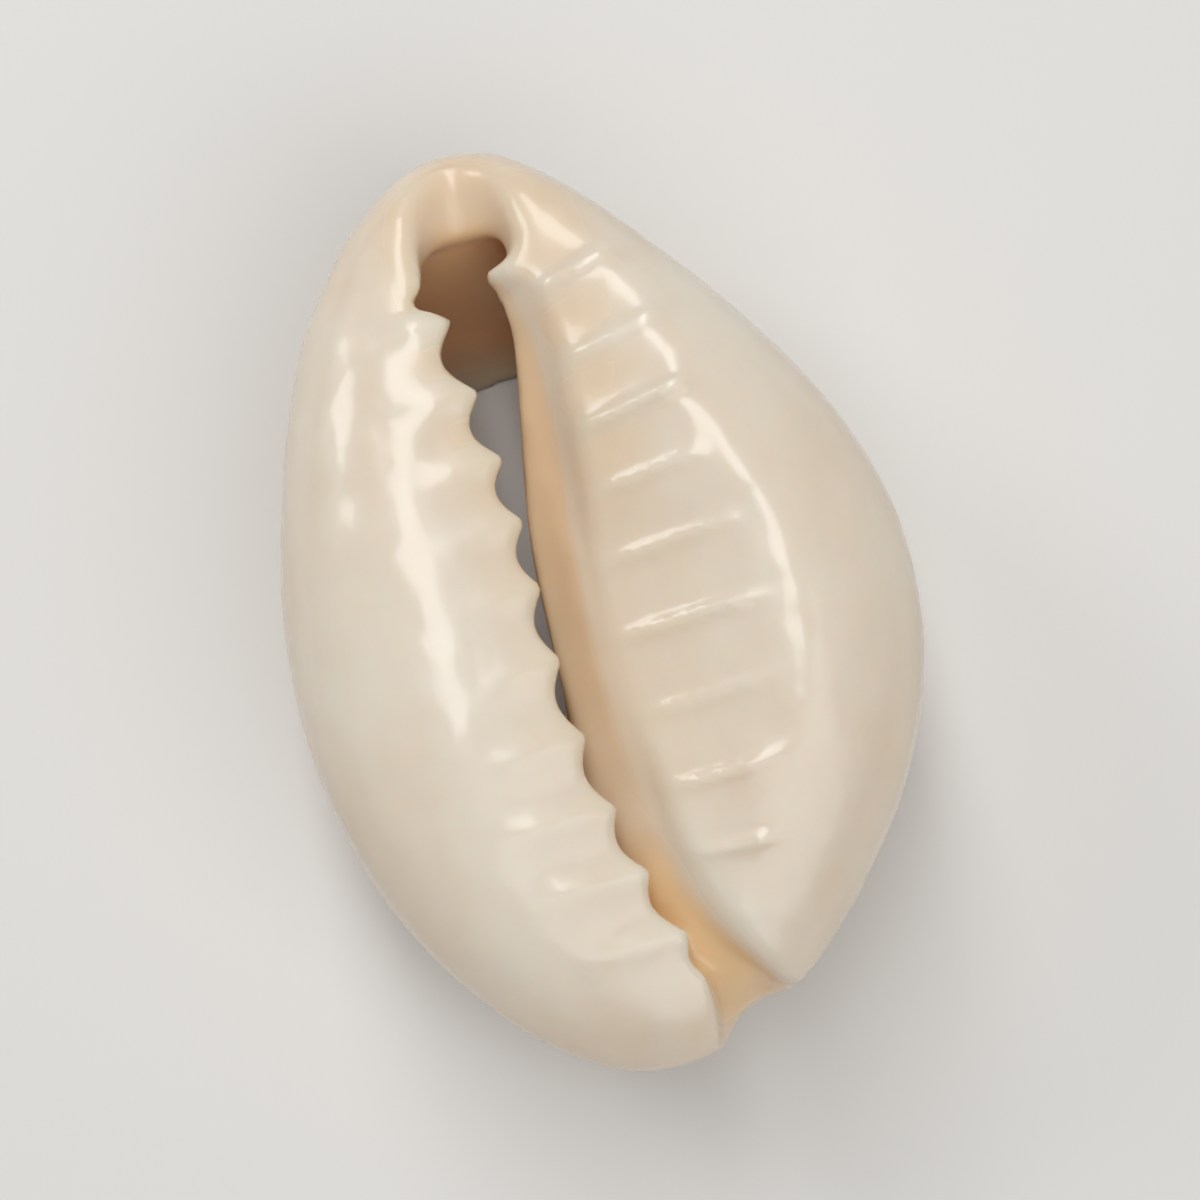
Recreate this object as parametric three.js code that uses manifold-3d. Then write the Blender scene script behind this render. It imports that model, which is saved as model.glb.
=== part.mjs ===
// A money cowrie with its back sawn off, as one solid: an egg-shaped shell around a
// hollow, with a toothed slit along the underside, a smooth inner whorl and a flat cut.
// Frame, in mm: +Y is the front (canal) end, -X the outer lip, +X the columella side,
// +Z the toothed underside. The shell rests on the cut, on the plane z = 0.
import * as THREE from 'three';
import { mergeVertices } from 'three/addons/utils/BufferGeometryUtils.js';
import Module from 'manifold-3d';

const wasm = await Module();
wasm.setup();

// Driving dimensions.
const LENGTH = 18.5;
const WIDTH = 12.1;
const MARGIN_LEVEL = 4.8; // height of the widest level above the cut
const BASE_RISE = 2.75; // from the widest level up to the underside's crests
const DOME_DEPTH = 6.15; // from the widest level down to where the back would close
const BASE_POWER = 2.6; // boxiness of a cross-section: 2 is round
const DOME_POWER = 2.3;

// Walls: the hollow is the outer form drawn in, with a thick base over it.
const HOLLOW_WIDTH_RATIO = 0.86;
const HOLLOW_LENGTH_RATIO = 0.905;
const HOLLOW_RISE = 1.1;

// Groove in the underside that holds the slit.
const GROOVE_DEPTH = 0.95;
const GROOVE_REACH = 2.1;

// Slit, teeth and ribs.
const SLIT_FRONT = 7.7;
const SLIT_BACK = -7.6;
const SLIT_FLOOR = 4.35; // the slit is cut down to this height, into the hollow
const TOOTH_PITCH = 1.38;
const TOOTH_COUNT = 11;
const FIRST_TOOTH = 6.3;
const TOOTH_DEPTH = 0.34;
const RIB_COUNT = 10;
const FIRST_RIB = 5.6;
const RIB_REACH = 2.9; // how far the longest rib runs out from the columella edge
const RIB_SHORTENING = 0.12; // lost per rib away from the longest one
const LONGEST_RIB = 4;
const RIDGE_REACH = 1.5; // how far each outer lip tooth carries on over the lip
const RIDGE_OVERHANG = 0.3; // how far it stands past the mean edge of the lip
const RIDGE_HALF_WIDTH = 0.3;
const RIB_HALF_WIDTH = 0.2;
const RIB_HALF_HEIGHT = 0.24;
const RIB_SLANT = 0.16; // the ribs rise towards the front as they run outwards
const RIB_SINK = 0.06; // the ribs' middle lines lie this far under the surface

// Back canal: its two sides, from the slit's back end out past the end of the shell.
const BACK_CANAL_LIP_SIDE = [
  [0.98, -8.05],
  [1.0, -8.9],
  [0.9, -9.9],
];
const BACK_CANAL_COLUMELLA_SIDE = [
  [2.9, -9.9],
  [2.1, -8.35],
];

// Front canal: a tilted scoop that carries the slit up and out over the front rim.
const FRONT_CANAL_RADII = [0.82, 2.3, 1.5];
const FRONT_CANAL_CENTRE = [-1.25, 7.2, 5.9];
const FRONT_CANAL_TILT = 16;

// Inner whorl: a smooth bulb at the back end that tapers into the columella.
const BULB_CENTRE = [1.6, -4.1, 3.65];
const BULB_RADII = [2.2, 4.0, 2.5];
const COLUMELLA_FRONT = [0.7, 7.4, 4.6];
const COLUMELLA_RADIUS_FRONT = 0.55;
const COLUMELLA_RADIUS_BACK = 1.75;

// Mesh fineness.
const BODY_AROUND = 48;
const BODY_ALONG = 34;
const HOLLOW_AROUND = 32;
const HOLLOW_ALONG = 22;
const SMALLEST_EDGE = 0.01;

const SHELL_COLOUR = 0xe6ddcc;
const SHELL_ROUGHNESS = 0.22;

// Half width of the outline at t, from -1 at the back end to +1 at the front end.
function outlineHalfWidth(t) {
  return 0.5 * WIDTH * Math.sqrt(Math.max(0, 1 - t * t)) * (1 - 0.13 * t) * (1 - 0.24 * t * t);
}

// The outline leans towards the outer lip at both ends, more at the front.
function outlineCentre(t) {
  const frontLean = 0.65 * (1 + Math.tanh((t - 0.48) / 0.33));
  const backLean = t < 0 ? 0.35 * t * t : 0;
  return -frontLean - backLean;
}

function marginLevel(t) {
  return MARGIN_LEVEL - 0.7 * t * t;
}

function baseRise(t, rise) {
  return rise * Math.sqrt(Math.max(0, 1 - Math.abs(t) ** 3));
}

function domeDepth(t) {
  return DOME_DEPTH * Math.sqrt(Math.max(0, 1 - t * t)) * (1 - 0.09 * t);
}

// Edges of the slit: x on the outer lip and on the columella side, at a given y.
function outerLipEdge(y) {
  const t = (2 * y) / LENGTH;
  return -1.22 - 1.33 * t - 0.61 * t ** 2 - 0.69 * t ** 3 + 2.03 * t ** 4;
}

function columellaEdge(y) {
  const t = (2 * y) / LENGTH;
  return -0.07 - 0.14 * t + 0.72 * t ** 2 - 1.52 * t ** 3 + 0.45 * t ** 4;
}

function slitCentre(y) {
  const reached = THREE.MathUtils.clamp(y, SLIT_BACK, SLIT_FRONT);
  return 0.5 * (outerLipEdge(reached) + columellaEdge(reached));
}

// A power curve's coordinate: 2 gives a circle's, higher powers a boxier section.
function bowed(value, power) {
  return Math.sign(value) * Math.abs(value) ** (2 / power);
}

// The egg form, bent from a unit sphere whose poles are the two ends of the shell.
function eggGeometry(around, along, widthRatio, lengthRatio, rise, grooveDepth) {
  const geometry = new THREE.SphereGeometry(1, around, along);
  const positions = geometry.attributes.position;
  for (let i = 0; i < positions.count; i += 1) {
    const t = THREE.MathUtils.clamp(positions.getY(i), -1, 1);
    const ring = Math.max(Math.hypot(positions.getX(i), positions.getZ(i)), 1e-9);
    const side = positions.getX(i) / ring;
    const up = positions.getZ(i) / ring;
    const power = up > 0 ? BASE_POWER : DOME_POWER;
    const y = 0.5 * LENGTH * lengthRatio * t;
    const x = outlineCentre(t) + widthRatio * outlineHalfWidth(t) * bowed(side, power);
    let z = marginLevel(t);
    if (up > 0) {
      const offset = (x - slitCentre(y)) / GROOVE_REACH;
      z += baseRise(t, rise) * bowed(up, power);
      z -= grooveDepth * Math.exp(-offset * offset) * (1 - t * t) ** 0.25;
    } else {
      z += domeDepth(t) * bowed(up, power);
    }
    positions.setXYZ(i, x, y, z);
  }
  return geometry;
}

function solidFrom(geometry) {
  const bare = geometry.clone();
  bare.deleteAttribute('normal');
  bare.deleteAttribute('uv');
  const merged = mergeVertices(bare, 1e-4);
  const vertProperties = new Float32Array(merged.attributes.position.array);
  const triVerts = new Uint32Array(merged.index.array);
  return new wasm.Manifold(new wasm.Mesh({ numProp: 3, vertProperties, triVerts }));
}

function geometryFrom(solid) {
  const mesh = solid.getMesh();
  const geometry = new THREE.BufferGeometry();
  geometry.setAttribute('position', new THREE.BufferAttribute(mesh.vertProperties, 3));
  geometry.setIndex(new THREE.BufferAttribute(mesh.triVerts, 1));
  return geometry;
}

// A rounded bar from one point to another, for the columella.
function taperedBar(start, end, startRadius, endRadius) {
  const from = new THREE.Vector3(...start);
  const to = new THREE.Vector3(...end);
  const run = new THREE.Vector3().subVectors(to, from);
  const geometry = new THREE.CylinderGeometry(endRadius, startRadius, run.length(), 20, 1);
  const turn = new THREE.Quaternion().setFromUnitVectors(
    new THREE.Vector3(0, 1, 0),
    run.clone().normalize(),
  );
  geometry.applyQuaternion(turn);
  geometry.translate((from.x + to.x) / 2, (from.y + to.y) / 2, (from.z + to.z) / 2);
  return geometry;
}

function innerWhorl() {
  const bulbShape = new THREE.SphereGeometry(1, 28, 18);
  bulbShape.scale(...BULB_RADII);
  bulbShape.translate(...BULB_CENTRE);
  const columella = solidFrom(
    taperedBar(BULB_CENTRE, COLUMELLA_FRONT, COLUMELLA_RADIUS_BACK, COLUMELLA_RADIUS_FRONT),
  );
  return solidFrom(bulbShape).add(columella);
}

// Sharp crests at whole numbers with round hollows between them, from 0 to 1.
function toothWave(u) {
  return 1 - Math.abs(Math.sin(Math.PI * u));
}

// The slit, seen from the underside: a toothed outer lip, a smoother columella edge,
// a blunt front canal and a narrow back canal that runs out through the end.
function slitSolid() {
  const outline = new THREE.Shape();
  const steps = 4;
  outline.moveTo(outerLipEdge(SLIT_FRONT), SLIT_FRONT);
  for (let i = 0; i <= TOOTH_COUNT * steps; i += 1) {
    const u = i / steps;
    const y = FIRST_TOOTH - (u - 0.5) * TOOTH_PITCH;
    if (y < SLIT_FRONT && y > SLIT_BACK) {
      outline.lineTo(outerLipEdge(y) + TOOTH_DEPTH * (toothWave(u - 0.5) - 0.35), y);
    }
  }
  for (const [x, y] of [...BACK_CANAL_LIP_SIDE, ...BACK_CANAL_COLUMELLA_SIDE]) {
    outline.lineTo(x, y);
  }
  for (let y = SLIT_BACK; y < SLIT_FRONT; y += 0.9) {
    outline.lineTo(columellaEdge(y), y);
  }
  outline.lineTo(columellaEdge(SLIT_FRONT), SLIT_FRONT);
  const geometry = new THREE.ExtrudeGeometry(outline, { depth: 6, bevelEnabled: false });
  geometry.translate(0, 0, SLIT_FLOOR);
  return solidFrom(geometry);
}

function frontCanal() {
  const geometry = new THREE.SphereGeometry(1, 18, 12);
  geometry.scale(...FRONT_CANAL_RADII);
  geometry.rotateX(THREE.MathUtils.degToRad(FRONT_CANAL_TILT));
  geometry.translate(...FRONT_CANAL_CENTRE);
  return solidFrom(geometry);
}

// Height of the underside at a point, for the ribs to lie on.
function undersideHeight(x, y) {
  const t = (2 * y) / LENGTH;
  const across = Math.min(1, Math.abs((x - outlineCentre(t)) / outlineHalfWidth(t)));
  const offset = (x - slitCentre(y)) / GROOVE_REACH;
  const crown = baseRise(t, BASE_RISE) * (1 - across ** BASE_POWER) ** (1 / BASE_POWER);
  return marginLevel(t) + crown - GROOVE_DEPTH * Math.exp(-offset * offset) * (1 - t * t) ** 0.25;
}

// One low ridge lying on the underside between two x positions, rising to the front.
function ridge(y, innerX, outerX, halfWidth) {
  const rise = RIB_SLANT * (outerX - innerX);
  const innerZ = undersideHeight(innerX, y);
  const outerZ = undersideHeight(outerX, y + rise);
  const length = Math.hypot(outerX - innerX, rise, outerZ - innerZ);
  const geometry = new THREE.SphereGeometry(1, 10, 6);
  geometry.scale(0.5 * length, halfWidth, RIB_HALF_HEIGHT);
  geometry.rotateY(-Math.atan2(outerZ - innerZ, outerX - innerX));
  geometry.rotateZ(Math.atan2(rise, outerX - innerX));
  geometry.translate((innerX + outerX) / 2, y + rise / 2, (innerZ + outerZ) / 2 - RIB_SINK);
  return solidFrom(geometry);
}

function columellaRibs(body) {
  let ribbed = body;
  for (let i = 0; i < RIB_COUNT; i += 1) {
    const y = FIRST_RIB - i * TOOTH_PITCH;
    const edge = columellaEdge(y);
    const reach = RIB_REACH - RIB_SHORTENING * Math.abs(i - LONGEST_RIB);
    ribbed = ribbed.add(ridge(y, edge, edge + reach, RIB_HALF_WIDTH));
  }
  return ribbed;
}

function outerLipRidges(body) {
  let ridged = body;
  for (let i = 0; i < TOOTH_COUNT - 1; i += 1) {
    const y = FIRST_TOOTH - i * TOOTH_PITCH;
    const edge = outerLipEdge(y);
    ridged = ridged.add(ridge(y, edge - RIDGE_REACH, edge + RIDGE_OVERHANG, RIDGE_HALF_WIDTH));
  }
  return ridged;
}

// The saw cut: everything below z = 0 is gone.
function sawnAway() {
  const geometry = new THREE.BoxGeometry(2 * WIDTH, 2 * LENGTH, 2 * DOME_DEPTH);
  geometry.translate(0, 0, -DOME_DEPTH);
  return solidFrom(geometry);
}

function cowrieShell() {
  const body = solidFrom(eggGeometry(BODY_AROUND, BODY_ALONG, 1, 1, BASE_RISE, GROOVE_DEPTH));
  const hollow = solidFrom(
    eggGeometry(
      HOLLOW_AROUND,
      HOLLOW_ALONG,
      HOLLOW_WIDTH_RATIO,
      HOLLOW_LENGTH_RATIO,
      HOLLOW_RISE,
      0,
    ),
  );
  const shell = columellaRibs(outerLipRidges(body))
    .subtract(hollow.subtract(innerWhorl()))
    .subtract(slitSolid())
    .subtract(frontCanal())
    .subtract(sawnAway())
    .simplify(SMALLEST_EDGE);
  const geometry = geometryFrom(shell);
  geometry.computeBoundingBox();
  const { min, max } = geometry.boundingBox;
  geometry.translate(-(min.x + max.x) / 2, -(min.y + max.y) / 2, -min.z);
  geometry.computeVertexNormals();
  const material = new THREE.MeshStandardMaterial({
    color: SHELL_COLOUR,
    roughness: SHELL_ROUGHNESS,
    metalness: 0,
  });
  const mesh = new THREE.Mesh(geometry, material);
  mesh.name = 'cowrie_shell';
  return mesh;
}

const cowrie = new THREE.Group();
cowrie.add(cowrieShell());

export default cowrie;
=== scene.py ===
import math
from functools import cached_property

import bpy
from bpy.props import FloatProperty, FloatVectorProperty, IntProperty, PointerProperty
from mathutils import Matrix, Vector


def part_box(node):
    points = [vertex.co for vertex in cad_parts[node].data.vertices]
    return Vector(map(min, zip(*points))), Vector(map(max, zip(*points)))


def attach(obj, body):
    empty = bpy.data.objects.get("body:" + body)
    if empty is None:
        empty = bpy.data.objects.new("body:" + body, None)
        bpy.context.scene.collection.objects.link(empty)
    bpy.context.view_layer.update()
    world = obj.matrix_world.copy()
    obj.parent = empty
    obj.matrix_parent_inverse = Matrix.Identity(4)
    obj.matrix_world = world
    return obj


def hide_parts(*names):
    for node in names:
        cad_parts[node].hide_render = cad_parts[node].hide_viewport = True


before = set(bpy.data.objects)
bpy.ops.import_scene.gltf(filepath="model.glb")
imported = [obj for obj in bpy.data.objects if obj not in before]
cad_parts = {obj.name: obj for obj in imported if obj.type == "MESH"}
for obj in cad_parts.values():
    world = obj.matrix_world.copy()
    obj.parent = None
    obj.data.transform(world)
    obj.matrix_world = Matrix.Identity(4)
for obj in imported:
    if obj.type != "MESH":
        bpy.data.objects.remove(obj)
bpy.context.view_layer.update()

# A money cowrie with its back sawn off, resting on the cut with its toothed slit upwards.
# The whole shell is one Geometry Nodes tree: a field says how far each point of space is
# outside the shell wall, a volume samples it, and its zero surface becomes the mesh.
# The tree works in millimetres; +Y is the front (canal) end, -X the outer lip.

bl_info = {
    "name": "Cut Cowrie Shell",
    "version": (1, 0, 0),
    "blender": (4, 5, 0),
    "location": "3D View > Sidebar > Cowrie",
    "description": "Builds a sawn money cowrie, its materials and a plain studio",
    "category": "Object",
}

MM = 0.001
NODE = "cowrie_shell"
CAD_LOW, CAD_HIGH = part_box(NODE)
CAD_SIZE = [high - low for low, high in zip(CAD_LOW, CAD_HIGH)]


# ---------------------------------------------------------------- sizes and colours

class CowrieSizes(bpy.types.PropertyGroup):
    """Sizes of the shell."""

    length: FloatProperty(
        name="Length", description="From the back end to the front end",
        default=CAD_SIZE[1], unit="LENGTH", subtype="DISTANCE")
    width: FloatProperty(
        name="Width", description="Across the widest level",
        default=CAD_SIZE[0], unit="LENGTH", subtype="DISTANCE")
    wall: FloatProperty(
        name="Wall", description="Thickness of the shell wall at its widest level",
        default=0.85 * MM, unit="LENGTH", subtype="DISTANCE")
    tooth_pitch: FloatProperty(
        name="Tooth Pitch", description="Distance from one tooth to the next",
        default=1.38 * MM, unit="LENGTH", subtype="DISTANCE")
    tooth_depth: FloatProperty(
        name="Tooth Depth", description="How far the outer lip's teeth reach into the slit",
        default=0.42 * MM, unit="LENGTH", subtype="DISTANCE")
    rib_height: FloatProperty(
        name="Rib Height", description="How far the columella's ribs stand up",
        default=0.13 * MM, unit="LENGTH", subtype="DISTANCE")
    fineness: FloatProperty(
        name="Fineness", description="Edge length of the shell's mesh",
        default=0.1125 * MM, unit="LENGTH", subtype="DISTANCE")
    seed: IntProperty(
        name="Seed", description="Changes the small growth irregularities", default=4)


class CowrieColours(bpy.types.PropertyGroup):
    """Colours of the shell and the floor."""

    enamel: FloatVectorProperty(
        name="Enamel", description="The glossy cream outside",
        default=(0.74, 0.59, 0.44), subtype="COLOR", size=3)
    pale_enamel: FloatVectorProperty(
        name="Pale Enamel", description="The thick whitish callus on the lips",
        default=(0.82, 0.762, 0.66), subtype="COLOR", size=3)
    # Tan is partly the inner wall's own colour and partly painted shade in the channel, the
    # trough and beside the slit.
    tan: FloatVectorProperty(
        name="Tan And Shade", description="The warm colour of the inner wall",
        default=(0.82, 0.55, 0.27), subtype="COLOR", size=3)
    # Painted light: a brighter, warmer tan for the inner wall under the slit, standing in for
    # light that falls in through the slit.
    slit_light_tan: FloatVectorProperty(
        name="Slit Light Tan", description="The warmest part of the inner wall, under the slit",
        default=(0.95, 0.56, 0.24), subtype="COLOR", size=3)
    chalk: FloatVectorProperty(
        name="Chalk", description="The dull surface that the saw left",
        default=(0.83, 0.78, 0.69), subtype="COLOR", size=3)
    floor: FloatVectorProperty(
        name="Floor", description="The studio floor",
        default=(0.80, 0.79, 0.77), subtype="COLOR", size=3)


# ---------------------------------------------------------------- arithmetic with nodes

class Field:
    """A value worked out by nodes, written as ordinary arithmetic."""

    def __init__(self, tree, socket):
        self.tree = tree
        self.socket = socket

    def combine(self, operation, *others, clamp=False):
        node = self.tree.nodes.new("ShaderNodeMath")
        node.operation = operation
        node.use_clamp = clamp
        for slot, value in zip(node.inputs, (self, *others)):
            if isinstance(value, Field):
                self.tree.links.new(value.socket, slot)
            else:
                slot.default_value = value
        return Field(self.tree, node.outputs[0])

    def constant(self, value):
        node = self.tree.nodes.new("ShaderNodeValue")
        node.outputs[0].default_value = value
        return Field(self.tree, node.outputs[0])

    def __add__(self, other):
        return self.combine("ADD", other)

    def __sub__(self, other):
        return self.combine("SUBTRACT", other)

    def __mul__(self, other):
        return self.combine("MULTIPLY", other)

    def __truediv__(self, other):
        return self.combine("DIVIDE", other)

    def __pow__(self, other):
        return self.combine("POWER", other)

    def __neg__(self):
        return self.combine("MULTIPLY", -1.0)

    def __radd__(self, other):
        return self.combine("ADD", other)

    def __rmul__(self, other):
        return self.combine("MULTIPLY", other)

    def __rsub__(self, other):
        return self.constant(other).combine("SUBTRACT", self)

    def __rtruediv__(self, other):
        return self.constant(other).combine("DIVIDE", self)

    def __abs__(self):
        return self.combine("ABSOLUTE")

    def sqrt(self):
        return self.combine("SQRT")

    def exp(self):
        return self.combine("EXPONENT")

    def sin(self):
        return self.combine("SINE")

    def tanh(self):
        return self.combine("TANH")

    def minimum(self, other):
        return self.combine("MINIMUM", other)

    def maximum(self, other):
        return self.combine("MAXIMUM", other)

    def clamped(self):
        return self.combine("ADD", 0.0, clamp=True)

    def nearest_whole(self):
        return self.combine("ROUND")


def smooth_min(first, second, radius):
    """The lower of two fields, with the crease between them rounded."""
    return first.combine("SMOOTH_MIN", second, radius)


def smooth_max(first, second, radius):
    """The higher of two fields, with the crease between them rounded."""
    return first.combine("SMOOTH_MAX", second, radius)


def length_of(across, along=0.0, up=0.0):
    """Distance from its components."""
    tree = across.tree
    joined = tree.nodes.new("ShaderNodeCombineXYZ")
    for part, socket in zip((across, along, up), joined.inputs):
        if isinstance(part, Field):
            tree.links.new(part.socket, socket)
    node = tree.nodes.new("ShaderNodeVectorMath")
    node.operation = "LENGTH"
    tree.links.new(joined.outputs[0], node.inputs[0])
    return Field(tree, node.outputs["Value"])


def ramp(value, start, stop):
    """0 before start, 1 after stop, smooth in between."""
    node = value.tree.nodes.new("ShaderNodeMapRange")
    node.interpolation_type = "SMOOTHSTEP"
    value.tree.links.new(value.socket, node.inputs["Value"])
    for name, edge in (("From Min", start), ("From Max", stop)):
        if isinstance(edge, Field):
            value.tree.links.new(edge.socket, node.inputs[name])
        else:
            node.inputs[name].default_value = edge
    return Field(value.tree, node.outputs["Result"])


def band(value, rise_start, rise_stop, fall_start, fall_stop):
    """1 in the middle of a stretch and 0 beyond its ends, with smooth sides."""
    return ramp(value, rise_start, rise_stop) * (1.0 - ramp(value, fall_start, fall_stop))


def soft_ramp(value, roundness):
    """The value where it is positive and zero where it is negative, with a round bend."""
    return 0.5 * (value + (value * value + roundness * roundness).sqrt())


def line_along(place, points):
    """A smooth line through listed (position, value) points, level beyond its ends."""
    tree = place.tree
    start = points[0][0]
    stop = points[-1][0]
    node = tree.nodes.new("ShaderNodeFloatCurve")
    mapping = node.mapping
    mapping.use_clip = False
    mapping.extend = "EXTRAPOLATED"
    curve = mapping.curves[0]
    placed = [((position - start) / (stop - start), value) for position, value in points]
    placed.sort()
    curve.points[0].location = placed[0]
    curve.points[1].location = placed[-1]
    for position, value in placed[1:-1]:
        curve.points.new(position, value)
    for point in curve.points:
        point.handle_type = "AUTO"
    mapping.update()
    share = (place.maximum(start).minimum(stop) - start) / (stop - start)
    tree.links.new(share.socket, node.inputs["Value"])
    return Field(tree, node.outputs[0])


# ---------------------------------------------------------------- the shell's lines and sizes

# Each line is a list of (y, x) points in mm, from the back end to the front end.
LIP_EDGE = [
    (-9.25, 0.75), (-8.3, 0.8), (-7.3, 0.48), (-6.2, 0.02), (-4.8, -0.44), (-3.3, -0.82),
    (-1.9, -1.06), (-0.2, -1.2), (1.2, -1.3), (2.6, -1.52), (4.4, -1.88), (6.0, -2.12),
    (7.4, -2.16), (9.25, -1.9),
]
COLUMELLA_EDGE = [
    (-9.25, 2.9), (-8.0, 1.92), (-6.2, 0.88), (-5.0, 0.5), (-3.6, 0.24), (-2.5, 0.04),
    (-0.5, -0.12), (0.8, -0.13), (2.7, -0.03), (4.6, -0.05), (5.8, -0.3), (7.2, -0.42),
    (9.25, -0.5),
]
LIP_CREST = [
    (-9.25, 0.6), (-7.6, -0.5), (-5.6, -1.95), (-4.1, -2.6), (-2.3, -3.05), (-0.5, -3.4),
    (1.7, -3.66), (3.3, -3.84), (6.2, -3.7), (7.8, -3.0), (9.25, -1.8),
]
COLUMELLA_CREST = [
    (-9.25, 3.0), (-7.6, 2.75), (-5.6, 2.9), (-3.9, 3.2), (-2.3, 3.6), (-0.6, 3.68),
    (1.45, 3.15), (3.2, 2.5), (5.2, 1.95), (6.8, 1.1), (8.0, 0.2), (9.25, -0.6),
]

# The egg form. It is widest at the margin level. Above that is the base, which faces up,
# and below it the dome, whose lowest part is sawn off. A power over 2 squares a section.
MARGIN_LEVEL = 4.8
BASE_RISE = 2.85
DOME_DEPTH = 6.15
BASE_POWER = 2.6
DOME_POWER = 2.3
MARGIN_DROP = 0.7
FRONT_TAPER = 0.13
END_TAPER = 0.24
FRONT_LEAN = 0.65
FRONT_LEAN_PLACE = 0.48
FRONT_LEAN_SPREAD = 0.33
BACK_LEAN = 0.35
END_RISE = 0.25
FRONT_THINNING = 0.09
LEAST_SLOPE = 0.02  # keeps the distance finite at the form's middle

# The hollow, shorter than the shell, with a slanting wall in front.
HOLLOW_LENGTH = 0.905
HOLLOW_RISE = 1.15
HOLLOW_FRONT = 7.5
FRONT_WALL_NORMAL = (0.94, -0.34)

# The lips' slopes towards the slit, and how round they turn over at their crests. Towards
# the back the columella side gets flatter and rounder.
LIP_SLOPE = 0.37
LIP_ROUNDNESS = 1.7
COLUMELLA_SLOPE = 0.38
COLUMELLA_ROUNDNESS = 0.34
BACK_FLATTENING = 0.1
BACK_ROUNDING = 0.5
GROOVE_ROUNDING = 0.4

# Teeth and ribs are counted back from the first one. A span is where they rise and fade.
FIRST_TOOTH = 5.55
TOOTH_SLANT = 0.1
TOOTH_BALANCE = 0.3
CUSP_ROUNDNESS = 0.012
TEETH_SPAN = (-8.0, -7.0, 5.8, 6.1)
FIRST_RIB = 5.75
RIB_SLANT = 0.1
RIB_FAN = 0.035
RIB_BEND = 0.045
RIB_WIDTH = 0.1
RIBS_SPAN = (-7.4, -4.9, 6.0, 7.2)
PITCH_WOBBLE = 0.08
WOBBLE_RATE = 0.83

# Growth irregularities as (height, bumps per mm).
SWELLS = ((0.05, 0.3), (0.026, 0.9), (0.015, 1.9))

# The earlier whorls' bulb, and the columella bar that tapers forwards from it.
BULB_CENTRE = (0.9, -4.2, 3.55)
BULB_RADII = (2.2, 4.1, 2.4)
BULB_MEAN_RADIUS = 2.1
BAR_START = -4.0
BAR_LENGTH = 11.4
BAR_RADIUS = 1.85
BAR_TAPER = 1.5

# The roll that thickens the outer lip, with a low oval section beside the slit.
ROLL_INSET = 1.4
ROLL_LEVEL = 5.75
ROLL_FLATNESS = 0.85
ROLL_RADIUS = 1.1

# The trough over the front end, and the notch at the back end.
CANAL_X = -1.28
CANAL_HALF_WIDTH = 0.92
CANAL_HALF_HEIGHT = 1.3
CANAL_LEVEL = 6.15
CANAL_SLOPE = 0.25
CANAL_START = 6.6
NOTCH_PLACE = (1.95, -9.5)
NOTCH_RADIUS = 1.25

# The slit. Its teeth, spur and bump fade out between the shallow depths. Deeper down its
# columella side leans in, under a bevelled edge.
SHALLOW = (0.5, 1.9)
SPUR_REACH = 0.42
SPUR_PLACE = 6.5
SPUR_SPREAD = 0.36
BEVEL = 0.3
BEVEL_DEPTH = 0.35
COLUMELLA_LEAN = 0.42
LIP_LEAN = 0.35
SLIT_FLOOR = 3.4
SLIT_END = 0.6
SLIT_END_ROUNDING = 1.0

# How far inside the skin the roll and the whorl stay, and how the wall's creases are rounded.
COVER = 0.3
HOLLOW_ROUNDING = 0.12
ROLL_ROUNDING = 0.35
WHORL_ROUNDING = 0.5
EDGE_ROUNDING = 0.25
CANAL_ROUNDING = 0.6
NOTCH_ROUNDING = 0.3

# Levels between which the callus thickens, and the sawn ring ends.
CALLUS_LEVELS = (3.6, 6.6)
SAWN_LEVELS = (0.02, 0.14)

# The box that the volume samples.
SAMPLED_LOW = Vector((-6.6, -9.8, -0.25))
SAMPLED_HIGH = Vector((6.6, 9.8, 7.8))


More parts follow.
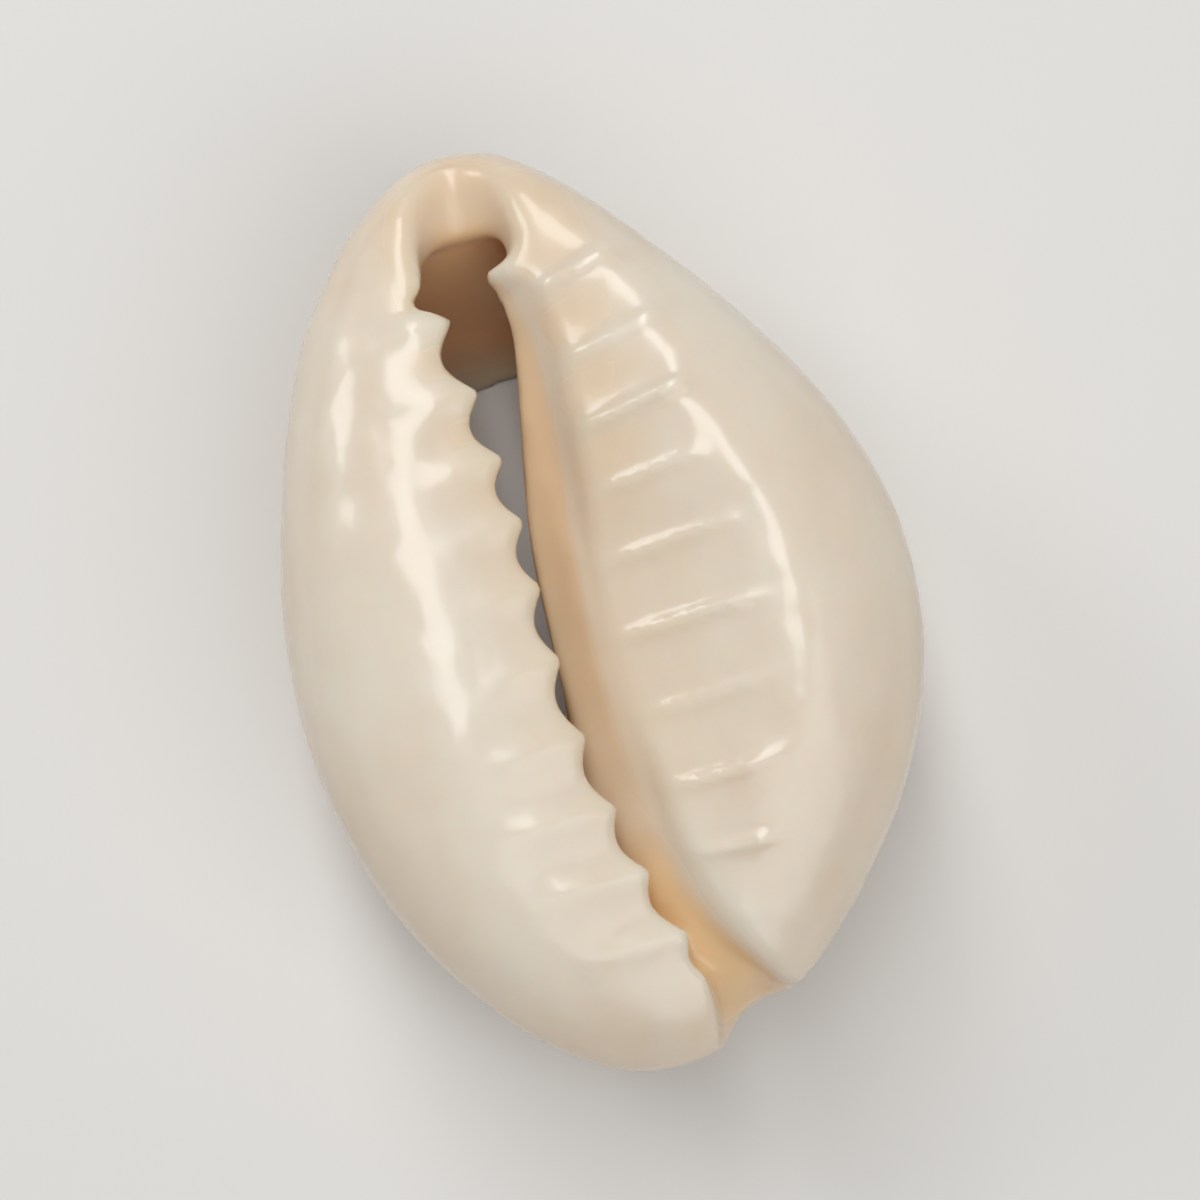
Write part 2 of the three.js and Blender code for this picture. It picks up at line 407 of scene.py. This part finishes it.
class ShellForm:
    """Builds the shell's field inside a node tree."""

    def __init__(self, tree, point, sizes):
        self.tree = tree
        self.point = point
        split = tree.nodes.new("ShaderNodeSeparateXYZ")
        tree.links.new(point, split.inputs[0])
        self.x, self.y, self.z = (Field(tree, output) for output in split.outputs)
        self.sizes = sizes
        self.half_length = sizes["Length"] * 0.5
        self.half_width = sizes["Width"] * 0.5
        self.along = self.y / self.half_length
        self.lip_edge = line_along(self.y, LIP_EDGE)
        self.columella_edge = line_along(self.y, COLUMELLA_EDGE)
        self.lip_crest = line_along(self.y, LIP_CREST)
        self.columella_crest = line_along(self.y, COLUMELLA_CREST)

    def growth_noise(self, scale, detail=1.0):
        """Soft irregularities from -1 to 1, bumps about 1/scale mm apart."""
        node = self.tree.nodes.new("ShaderNodeTexNoise")
        node.noise_dimensions = "4D"
        self.tree.links.new(self.point, node.inputs["Vector"])
        self.tree.links.new(self.sizes["Seed"].socket, node.inputs["W"])
        node.inputs["Scale"].default_value = scale
        node.inputs["Detail"].default_value = detail
        return (Field(self.tree, node.outputs["Fac"]) - 0.5) * 2.0

    @cached_property
    def outline_centre(self):
        """The outline's middle, which leans towards the outer lip at both ends."""
        t = self.along
        front = 1.0 + ((t - FRONT_LEAN_PLACE) / FRONT_LEAN_SPREAD).tanh()
        back = t.minimum(0.0)
        return -(FRONT_LEAN * front) - BACK_LEAN * back * back

    def egg(self, width, length_share, rise, depth):
        """Distance outside an egg form that is flatter above its widest level."""
        t = self.along / length_share
        spread = width * (1.0 - FRONT_TAPER * t) * (1.0 - END_TAPER * t * t)
        level = MARGIN_LEVEL - MARGIN_DROP * t * t
        side = (self.x - self.outline_centre) / spread
        up = (self.z - level).maximum(0.0) / (rise * (1.0 + END_RISE * t * t))
        down = (level - self.z).maximum(0.0) / (depth * (1.0 - FRONT_THINNING * t))
        base = ((abs(side) ** BASE_POWER) + (up ** BASE_POWER)) ** (1.0 / BASE_POWER)
        dome = ((abs(side) ** DOME_POWER) + (down ** DOME_POWER)) ** (1.0 / DOME_POWER)
        above = ramp(self.z - level, -0.01, 0.01)
        ring = dome + (base - dome) * above
        reach = length_of(ring, t)
        slope = length_of(
            side / spread,
            t / (self.half_length * length_share),
            up / rise + down / depth,
        ).maximum(LEAST_SLOPE)
        return reach * (reach - 1.0) / slope

    @cached_property
    def groove(self):
        """How far the base sinks from the lips' crests to the slit."""
        lip_side = LIP_SLOPE * soft_ramp(self.x - self.lip_crest, LIP_ROUNDNESS)
        at_back = ramp(-self.y, 2.5, 5.5)
        roundness = COLUMELLA_ROUNDNESS + BACK_ROUNDING * at_back
        from_crest = soft_ramp(self.columella_crest - self.x, roundness)
        columella_side = (COLUMELLA_SLOPE - BACK_FLATTENING * at_back) * from_crest
        t = self.along
        fade = (1.0 - t ** 6).maximum(0.0)
        on_base = ramp(self.z, MARGIN_LEVEL - 0.3, MARGIN_LEVEL + 1.4)
        return smooth_min(lip_side, columella_side, GROOVE_ROUNDING) * fade * on_base

    def tooth_phase(self, first, slant, edge):
        """Counts the teeth or ribs along the slit: a whole number on each one's crest."""
        run = self.y - first - slant * (self.x - edge)
        wobble = PITCH_WOBBLE * (run * WOBBLE_RATE).sin()
        return run / self.sizes["Tooth Pitch"] - wobble

    @cached_property
    def teeth(self):
        """The outer lip's teeth, 1 on a cusp and 0 in the round hollow between two."""
        phase = self.tooth_phase(FIRST_TOOTH, TOOTH_SLANT, self.lip_edge)
        turn = (phase * math.pi).sin()
        cusp = 1.0 - (turn * turn + CUSP_ROUNDNESS).sqrt()
        return cusp * band(self.y, *TEETH_SPAN) * (0.8 + 0.35 * ramp(self.y, 0.5, 4.5))

    @cached_property
    def ribs(self):
        """The columella side's thin ribs, 1 on a rib's crest. They fan out from the slit."""
        out = (self.x - self.columella_edge).maximum(0.0)
        bend = (RIB_BEND * ramp(-self.y, 0.0, 4.0)) * out
        slant = RIB_SLANT + RIB_FAN * self.y + bend
        phase = self.tooth_phase(FIRST_RIB, slant, self.columella_edge)
        number = phase.nearest_whole()
        off = (phase - number) / RIB_WIDTH
        ridge = (-(off * off)).exp()
        swell = 1.0 - ramp(abs(phase - number), 0.0, 0.5)
        swell = swell * (0.12 + 0.4 * ramp(self.y, 0.5, 4.0))
        strength = 0.8 + 0.2 * (number * 2.3).sin()
        return (ridge + swell) * band(self.y, *RIBS_SPAN) * strength

    @cached_property
    def outside(self):
        """Distance outside the shell's outer surface, as if nothing were cut from it."""
        skin = self.egg(self.half_width, 1.0, BASE_RISE, DOME_DEPTH) + self.groove
        from_lip = self.lip_edge - self.x
        bump_end = 1.5 + 1.2 * ramp(-self.y, 2.0, 4.5)
        lip_bumps = self.teeth * band(from_lip, -0.6, 0.0, 0.2, bump_end)
        reach = (self.x - self.columella_edge) / (self.columella_crest - self.columella_edge)
        rib_end = 0.62 + 0.3 * ramp(self.y, 1.5, 4.5)
        rib_fade = band(reach, -0.05, 0.3, rib_end, rib_end + 0.28)
        ribs = self.ribs * rib_fade * self.sizes["Rib Height"]
        on_base = ramp(self.z, MARGIN_LEVEL, MARGIN_LEVEL + 1.0)
        swell = sum(height * self.growth_noise(scale) for height, scale in SWELLS)
        bump_height = 0.13 + 0.07 * ramp(-self.y, 2.5, 4.2)
        return skin - (bump_height * lip_bumps + ribs) * on_base + swell

    @cached_property
    def hollow(self):
        """Distance outside the space inside the shell."""
        width = self.half_width - self.sizes["Wall"]
        egg = self.egg(width, HOLLOW_LENGTH, HOLLOW_RISE, DOME_DEPTH)
        return smooth_max(egg, self.front_wall, 1.2)

    @cached_property
    def front_wall(self):
        """Distance in front of the slanting plane where the inside ends under the canal."""
        forward, upward = FRONT_WALL_NORMAL
        return forward * (self.y - HOLLOW_FRONT) + upward * (self.z - MARGIN_LEVEL)

    @cached_property
    def bulb(self):
        """Distance outside the smooth bulb of the earlier whorls."""
        offsets = (
            (place - centre) / radius
            for place, centre, radius in zip((self.x, self.y, self.z), BULB_CENTRE, BULB_RADII))
        return (length_of(*offsets) - 1.0) * BULB_MEAN_RADIUS

    @cached_property
    def columella(self):
        """Distance outside the tapering bar that joins the bulb to the front end."""
        share = ((self.y - BAR_START) / BAR_LENGTH).clamped()
        radius = BAR_RADIUS - BAR_TAPER * (share ** 0.9)
        centre_x = 0.7 - 0.75 * ramp(self.y, -4.0, 2.0)
        centre_z = 3.9 + 1.35 * ramp(self.y, -6.5, 0.0)
        return length_of(self.x - centre_x, self.z - centre_z) - radius

    @cached_property
    def whorl(self):
        """Distance outside the bulb and the columella together."""
        return smooth_min(self.bulb, self.columella, 0.7)

    def columella_wall(self, depth):
        """Where the slit's columella side lies, leaning in as it goes deeper."""
        spur = SPUR_REACH * self.hump(SPUR_PLACE, SPUR_SPREAD) * (1.0 - ramp(depth, *SHALLOW))
        lean = COLUMELLA_LEAN * (1.0 - ramp(-self.y, 6.0, 8.5))
        bevel = BEVEL * (depth / -BEVEL_DEPTH).exp()
        return self.columella_edge + bevel - spur - lean * depth.maximum(0.0)

    @cached_property
    def lip_roll(self):
        """Distance outside the rounded roll that thickens the outer lip."""
        across = self.x - (self.lip_edge - ROLL_INSET)
        up = (self.z - ROLL_LEVEL) / ROLL_FLATNESS
        ends = ramp(abs(self.along), 0.72, 0.95)
        return length_of(across, up) - ROLL_RADIUS + 1.5 * ends

    def slit(self, depth):
        """Distance outside the slit between the lips."""
        below = (depth - COVER).maximum(0.0)
        shallow = 1.0 - ramp(depth, *SHALLOW)
        at_back = ramp(-self.y, 6.0, 8.5)
        tooth = self.sizes["Tooth Depth"] * (self.teeth - TOOTH_BALANCE) * shallow
        lip_bump = (0.26 * self.hump(6.95, 0.45) - 0.2 * self.hump(6.05, 0.24)) * shallow
        lip_wall = self.lip_edge + tooth + lip_bump - (LIP_LEAN - 0.6 * at_back) * below
        off_lip = lip_wall - self.x
        off_columella = self.x - self.columella_wall(depth)
        off_end = self.front_wall + SLIT_END
        off_floor = SLIT_FLOOR + 0.6 * ramp(-self.y, 6.2, 8.8) - self.z
        gap = smooth_max(off_lip, off_columella, HOLLOW_ROUNDING)
        gap = smooth_max(gap, off_end, SLIT_END_ROUNDING)
        return smooth_max(gap, off_floor, SLIT_END_ROUNDING)

    def hump(self, place, spread):
        """1 at a place along the shell, fading within the spread."""
        off = (self.y - place) / spread
        return (-(off * off)).exp()

    @cached_property
    def front_canal(self):
        """Distance outside the trough that leads out over the front end."""
        level = CANAL_LEVEL + CANAL_SLOPE * (self.y - HOLLOW_FRONT)
        across = (self.x - CANAL_X) / CANAL_HALF_WIDTH
        up = (self.z - level) / CANAL_HALF_HEIGHT
        return (length_of(across, up) - 1.0) * CANAL_HALF_WIDTH

    @cached_property
    def back_notch(self):
        """Distance outside the notch where the slit leaves the back end."""
        x, y = NOTCH_PLACE
        return length_of(self.x - x, self.y - y) - NOTCH_RADIUS

    def wall(self):
        """Distance outside the finished shell wall."""
        skin = self.outside
        body = smooth_max(skin, -self.hollow, HOLLOW_ROUNDING)
        body = smooth_min(body, self.lip_roll.maximum(skin + COVER), ROLL_ROUNDING)
        body = smooth_min(body, self.whorl.maximum(skin + COVER), WHORL_ROUNDING)
        body = smooth_max(body, -self.slit(-skin), EDGE_ROUNDING)
        bulb = smooth_max(self.bulb, skin + 0.35, WHORL_ROUNDING)
        body = smooth_min(body, bulb, ROLL_ROUNDING)
        canal = smooth_max(self.front_canal, CANAL_START - self.y, 0.8)
        body = smooth_max(body, -canal, CANAL_ROUNDING)
        body = smooth_max(body, -self.back_notch, NOTCH_ROUNDING)
        return body.maximum(-self.z)

    def tan_and_shade_share(self):
        """How tan the wall is, 1 deep inside and 0 on the outer enamel: partly the inner wall's
        own tan, partly painted shade in the back channel, the front trough and the groove
        beside the slit.
        """
        by_hollow = 1.0 - ramp(self.hollow, -0.1, 1.1)
        under = ramp(-self.outside, 0.2, 0.8) * (1.0 - 0.25 * ramp(self.z, 4.0, 5.6))
        off_whorl = 0.8 + 0.2 * ramp(self.whorl, 0.05, 0.5)
        inside = by_hollow * under * off_whorl * (0.5 + 0.5 * ramp(self.y, -6.5, 0.0))
        # Painted shade: the deep back channel is tinted tan where shade falls.
        channel = ramp(-self.outside, 0.15, 0.9) * ramp(-self.y, 3.5, 6.0)
        # Painted shade in the front trough over the canal.
        by_canal = 1.0 - ramp(self.front_canal, -0.1, 0.5)
        trough = 0.45 * by_canal * ramp(self.y, CANAL_START, CANAL_START + 1.0)
        channel = smooth_max(channel, trough, 0.2)
        # Painted shade where the base sinks towards the slit.
        groove_shade = 0.2 * ramp(self.groove, 0.15, 1.0)
        groove_shade = smooth_max(groove_shade, self.valley_tint(), 0.2)
        return smooth_max(smooth_max(inside, channel, 0.2), groove_shade, 0.2)

    def valley_tint(self):
        """How much tan the valleys between teeth and ribs get, most at the front."""
        from_lip = self.lip_edge - self.x
        on_lip = band(from_lip, -0.5, 0.1, 0.2, 1.4)
        from_columella = self.x - self.columella_edge
        on_ribs = band(from_columella, -0.4, 0.2, 0.8, 2.4)
        valleys = on_lip * (1.0 - ramp(self.teeth, 0.05, 0.55))
        valleys = valleys + on_ribs * (1.0 - ramp(self.ribs, 0.05, 0.6))
        return 0.42 * valleys * ramp(self.y, -2.0, 3.5) * ramp(self.z, 4.8, 5.8)

    def slit_light_share(self):
        """Where the inner wall under the front half of the slit takes the brighter, warmer
        colour: painted light standing in for light that falls in through the slit.
        """
        by_hollow = 1.0 - ramp(self.hollow, -0.1, 0.6)
        return by_hollow * ramp(-self.outside, 0.4, 0.9) * ramp(self.y, -1.0, 4.0)


# ---------------------------------------------------------------- the node trees

def shell_tree(material, defaults):
    """The shell as a Geometry Nodes tree with its sizes as named inputs."""
    tree = bpy.data.node_groups.new("Cowrie Shell", "GeometryNodeTree")
    tree.interface.new_socket("Geometry", in_out="OUTPUT", socket_type="NodeSocketGeometry")
    for name, value in defaults.items():
        socket = tree.interface.new_socket(name, in_out="INPUT", socket_type="NodeSocketFloat")
        socket.default_value = value
    entry = tree.nodes.new("NodeGroupInput")
    sizes = {socket.name: Field(tree, socket) for socket in entry.outputs if socket.name}
    place = tree.nodes.new("GeometryNodeInputPosition")
    form = ShellForm(tree, place.outputs[0], sizes)

    volume = tree.nodes.new("GeometryNodeVolumeCube")
    volume.inputs["Min"].default_value = SAMPLED_LOW
    volume.inputs["Max"].default_value = SAMPLED_HIGH
    tree.links.new((-form.wall()).socket, volume.inputs["Density"])
    volume.inputs["Background"].default_value = -1.0
    for axis, name in enumerate(("Resolution X", "Resolution Y", "Resolution Z")):
        steps = (SAMPLED_HIGH - SAMPLED_LOW)[axis] / sizes["Fineness"]
        tree.links.new(steps.socket, volume.inputs[name])
    surface = tree.nodes.new("GeometryNodeVolumeToMesh")
    surface.inputs["Threshold"].default_value = 0.0
    tree.links.new(volume.outputs[0], surface.inputs[0])

    smooth = tree.nodes.new("GeometryNodeSetShadeSmooth")
    tree.links.new(surface.outputs[0], smooth.inputs["Geometry"])
    # Stores the tan share: the inner wall's own tan plus painted shade in the channel, trough
    # and groove.
    marked = store(tree, smooth.outputs[0], "tan", form.tan_and_shade_share())
    # Stores the share of painted slit light on the inner wall.
    marked = store(tree, marked, "slit_light", form.slit_light_share())
    marked = store(tree, marked, "callus", ramp(form.z, *CALLUS_LEVELS))
    marked = store(tree, marked, "sawn", 1.0 - ramp(form.z, *SAWN_LEVELS))
    scale = tree.nodes.new("GeometryNodeTransform")
    tree.links.new(marked, scale.inputs["Geometry"])
    scale.inputs["Scale"].default_value = (MM, MM, MM)
    realize = tree.nodes.new("GeometryNodeRealizeInstances")
    tree.links.new(scale.outputs[0], realize.inputs[0])
    finish = tree.nodes.new("GeometryNodeSetMaterial")
    finish.inputs["Material"].default_value = material
    tree.links.new(realize.outputs[0], finish.inputs["Geometry"])
    leave = tree.nodes.new("NodeGroupOutput")
    tree.links.new(finish.outputs[0], leave.inputs[0])
    return tree


def store(tree, geometry, name, value):
    """Keeps a field on the mesh's points under a name."""
    node = tree.nodes.new("GeometryNodeStoreNamedAttribute")
    node.data_type = "FLOAT"
    node.domain = "POINT"
    node.inputs["Name"].default_value = name
    tree.links.new(geometry, node.inputs["Geometry"])
    tree.links.new(value.socket, node.inputs["Value"])
    return node.outputs[0]


def grown(name, tree, values):
    """Runs a tree on an empty mesh with the given inputs and keeps the plain result."""
    holder = bpy.data.objects.new(name + "_tree", bpy.data.meshes.new(name + "_start"))
    bpy.context.scene.collection.objects.link(holder)
    modifier = holder.modifiers.new("form", "NODES")
    modifier.node_group = tree
    for item in tree.interface.items_tree:
        if item.in_out == "INPUT" and item.name in values:
            modifier[item.identifier] = values[item.name]
    graph = bpy.context.evaluated_depsgraph_get()
    mesh = bpy.data.meshes.new_from_object(holder.evaluated_get(graph))
    mesh.name = name
    holder.modifiers.remove(modifier)
    bpy.data.objects.remove(holder)
    piece = bpy.data.objects.new(name, mesh)
    bpy.context.scene.collection.objects.link(piece)
    return piece


# ---------------------------------------------------------------- materials

def blend_colours(tree, share, first, second):
    """Mixes two colours, each a constant or a node's output."""
    node = tree.nodes.new("ShaderNodeMix")
    node.data_type = "RGBA"
    tree.links.new(share, node.inputs["Factor"])
    for slot, value in (("A", first), ("B", second)):
        socket = next(item for item in node.inputs if item.name == slot and item.type == "RGBA")
        if isinstance(value, bpy.types.NodeSocket):
            tree.links.new(value, socket)
        else:
            socket.default_value = (*value, 1.0)
    return next(item for item in node.outputs if item.type == "RGBA")


def cloudiness(tree, place, scale, stretch=(1.0, 1.0, 1.0), detail=3.0):
    """A soft random pattern from 0 to 1, scale bumps to the metre."""
    mapping = tree.nodes.new("ShaderNodeMapping")
    mapping.inputs["Scale"].default_value = stretch
    tree.links.new(place, mapping.inputs["Vector"])
    noise = tree.nodes.new("ShaderNodeTexNoise")
    noise.inputs["Scale"].default_value = scale
    noise.inputs["Detail"].default_value = detail
    tree.links.new(mapping.outputs[0], noise.inputs["Vector"])
    return Field(tree, noise.outputs["Fac"])


def mark(tree, name):
    """A field that the shell's tree stored on its points."""
    node = tree.nodes.new("ShaderNodeAttribute")
    node.attribute_name = name
    return Field(tree, node.outputs["Fac"])


# The enamel's patterns in bumps to the metre, then its relief and its scattered light.
CLOUDS = 230.0
STREAKS = 420.0
STREAK_STRETCH = (1.6, 0.45, 1.0)
GRAIN = 5200.0
RELIEF_STRENGTH = 0.35
RELIEF_DEPTH = 0.12 * MM
SCATTER_RADIUS = (1.0, 0.62, 0.38)
SCATTER_SCALE = 1.0 * MM


def enamel_material(colours):
    """Glossy cream enamel that turns tan inside, with painted shade in the channel, trough and
    groove and painted light under the slit, and is chalky where it was sawn.
    """
    material = bpy.data.materials.new("cowrie_enamel")
    material.use_nodes = True
    tree = material.node_tree
    shader = tree.nodes["Principled BSDF"]
    place = tree.nodes.new("ShaderNodeTexCoord").outputs["Object"]
    tan, slit_light, callus, sawn = (
        mark(tree, name) for name in ("tan", "slit_light", "callus", "sawn"))

    clouds = cloudiness(tree, place, CLOUDS)
    streaks = cloudiness(tree, place, STREAKS, STREAK_STRETCH)
    grain = cloudiness(tree, place, GRAIN, detail=5.0)

    pale_share = (callus * 0.85 + (clouds - 0.5) * 1.4 + (streaks - 0.5) * 0.9).clamped()
    outer = blend_colours(tree, pale_share.socket, colours.enamel, colours.pale_enamel)
    # Warm share: the inner tan, partly painted shade.
    warm_share = (tan * (0.8 + 0.5 * (streaks - 0.4))).clamped()
    # Painted light under the slit: the inner colour turns to the brighter, warmer tan there.
    inner = blend_colours(tree, slit_light.socket, colours.tan, colours.slit_light_tan)
    enamelled = blend_colours(tree, warm_share.socket, outer, inner)
    chalky = (sawn * (0.75 + 0.5 * (grain - 0.5))).clamped()
    colour = blend_colours(tree, chalky.socket, enamelled, colours.chalk)
    tree.links.new(colour, shader.inputs["Base Color"])

    roughness = 0.24 + 0.1 * (clouds - 0.5) + 0.12 * tan + 0.45 * sawn
    tree.links.new(roughness.socket, shader.inputs["Roughness"])
    relief = (streaks * 0.7 + clouds) * (1.0 - sawn) + grain * sawn * 0.6
    bump = tree.nodes.new("ShaderNodeBump")
    bump.inputs["Strength"].default_value = RELIEF_STRENGTH
    bump.inputs["Distance"].default_value = RELIEF_DEPTH
    tree.links.new(relief.socket, bump.inputs["Height"])
    tree.links.new(bump.outputs[0], shader.inputs["Normal"])

    shader.inputs["Coat Weight"].default_value = 0.32
    shader.inputs["Coat Roughness"].default_value = 0.09
    shader.inputs["Subsurface Weight"].default_value = 0.5
    shader.inputs["Subsurface Radius"].default_value = SCATTER_RADIUS
    shader.inputs["Subsurface Scale"].default_value = SCATTER_SCALE
    return material


def floor_material(colours):
    """A plain pale studio floor."""
    material = bpy.data.materials.new("studio_floor")
    material.use_nodes = True
    shader = material.node_tree.nodes["Principled BSDF"]
    shader.inputs["Base Color"].default_value = (*colours.floor, 1.0)
    shader.inputs["Roughness"].default_value = 0.7
    return material


# ---------------------------------------------------------------- operators

class COWRIE_OT_shell(bpy.types.Operator):
    """Build the sawn cowrie shell from its sizes"""

    bl_idname = "cowrie.shell"
    bl_label = "Cowrie Shell"

    def execute(self, context):
        sizes = context.scene.cowrie_sizes
        material = enamel_material(context.scene.cowrie_colours)
        values = {
            "Length": sizes.length / MM,
            "Width": sizes.width / MM,
            "Wall": sizes.wall / MM,
            "Tooth Pitch": sizes.tooth_pitch / MM,
            "Tooth Depth": sizes.tooth_depth / MM,
            "Rib Height": sizes.rib_height / MM,
            "Fineness": sizes.fineness / MM,
            "Seed": float(sizes.seed),
        }
        shell = grown("shell", shell_tree(material, values), values)
        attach(shell, "root")
        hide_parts(NODE)
        return {"FINISHED"}


# Area lights as (name, place, size, power), in metres and watts.
LIGHTS = (
    ("key", (-0.004, 0.075, 0.135), (0.038, 0.19), 0.12),
    ("sky", (0.055, -0.1, 0.155), (0.18, 0.18), 0.142),
    ("window", (-0.11, 0.10, 0.10), (0.05, 0.06), 0.045),
)
AIR_COLOUR = (1.0, 0.98, 0.95, 1.0)
AIR_STRENGTH = 0.23
FLOOR_REACH = 3.0
CAMERA_DISTANCE = 0.066
CAMERA_TILT = math.radians(6.0)
CAMERA_ROLL = math.radians(-11.0)
CAMERA_LENS = 100.0
NEAREST_SEEN = 0.001


def soft_light(name, place, target, size, power):
    """An area light that faces the target."""
    data = bpy.data.lights.new(name, "AREA")
    data.shape = "RECTANGLE"
    data.size = size[0]
    data.size_y = size[1]
    data.energy = power
    light = bpy.data.objects.new(name, data)
    light.location = place
    aim = (target - light.location).to_track_quat("-Z", "Y")
    light.rotation_euler = aim.to_euler()
    bpy.context.scene.collection.objects.link(light)


class COWRIE_OT_studio(bpy.types.Operator):
    """Lay the floor, set the lights and place the camera"""

    bl_idname = "cowrie.studio"
    bl_label = "Studio"

    def execute(self, context):
        scene = context.scene
        mesh = bpy.data.meshes.new("floor")
        corners = ((-1, -1), (1, -1), (1, 1), (-1, 1))
        mesh.from_pydata(
            [(x * FLOOR_REACH, y * FLOOR_REACH, 0.0) for x, y in corners], [], [(0, 1, 2, 3)])
        mesh.materials.append(floor_material(scene.cowrie_colours))
        floor = bpy.data.objects.new("floor", mesh)
        scene.collection.objects.link(floor)

        target = Vector((0.0, 0.0, 0.5 * CAD_SIZE[2]))
        for name, place, size, power in LIGHTS:
            soft_light(name, place, target, size, power)
        world = bpy.data.worlds.new("studio_air")
        world.use_nodes = True
        background = world.node_tree.nodes["Background"]
        background.inputs["Color"].default_value = AIR_COLOUR
        background.inputs["Strength"].default_value = AIR_STRENGTH
        scene.world = world
        scene.view_settings.view_transform = "Standard"

        data = bpy.data.cameras.new("camera")
        data.lens = CAMERA_LENS
        data.clip_start = NEAREST_SEEN
        camera = bpy.data.objects.new("camera", data)
        outward = Vector((0.0, -math.sin(CAMERA_TILT), math.cos(CAMERA_TILT)))
        camera.location = target + CAMERA_DISTANCE * outward
        aim = (-outward).to_track_quat("-Z", "Y").to_matrix()
        camera.rotation_euler = (aim @ Matrix.Rotation(CAMERA_ROLL, 3, "Z")).to_euler()
        scene.collection.objects.link(camera)
        scene.camera = camera
        return {"FINISHED"}


class COWRIE_PT_panel(bpy.types.Panel):
    """Lists the shell's sizes, colours and build steps"""

    bl_idname = "COWRIE_PT_panel"
    bl_label = "Cowrie Shell"
    bl_space_type = "VIEW_3D"
    bl_region_type = "UI"
    bl_category = "Cowrie"

    def draw(self, context):
        for group in (context.scene.cowrie_sizes, context.scene.cowrie_colours):
            box = self.layout.box()
            for name in group.__annotations__:
                box.prop(group, name)
        for operator in STEPS:
            self.layout.operator(operator.bl_idname)


STEPS = (COWRIE_OT_shell, COWRIE_OT_studio)
CLASSES = (CowrieSizes, CowrieColours, *STEPS, COWRIE_PT_panel)


def register():
    for item in CLASSES:
        bpy.utils.register_class(item)
    bpy.types.Scene.cowrie_sizes = PointerProperty(type=CowrieSizes)
    bpy.types.Scene.cowrie_colours = PointerProperty(type=CowrieColours)


def unregister():
    del bpy.types.Scene.cowrie_colours
    del bpy.types.Scene.cowrie_sizes
    for item in reversed(CLASSES):
        bpy.utils.unregister_class(item)


def main():
    register()
    bpy.ops.cowrie.shell()
    bpy.ops.cowrie.studio()


if __name__ == "__main__":
    main()
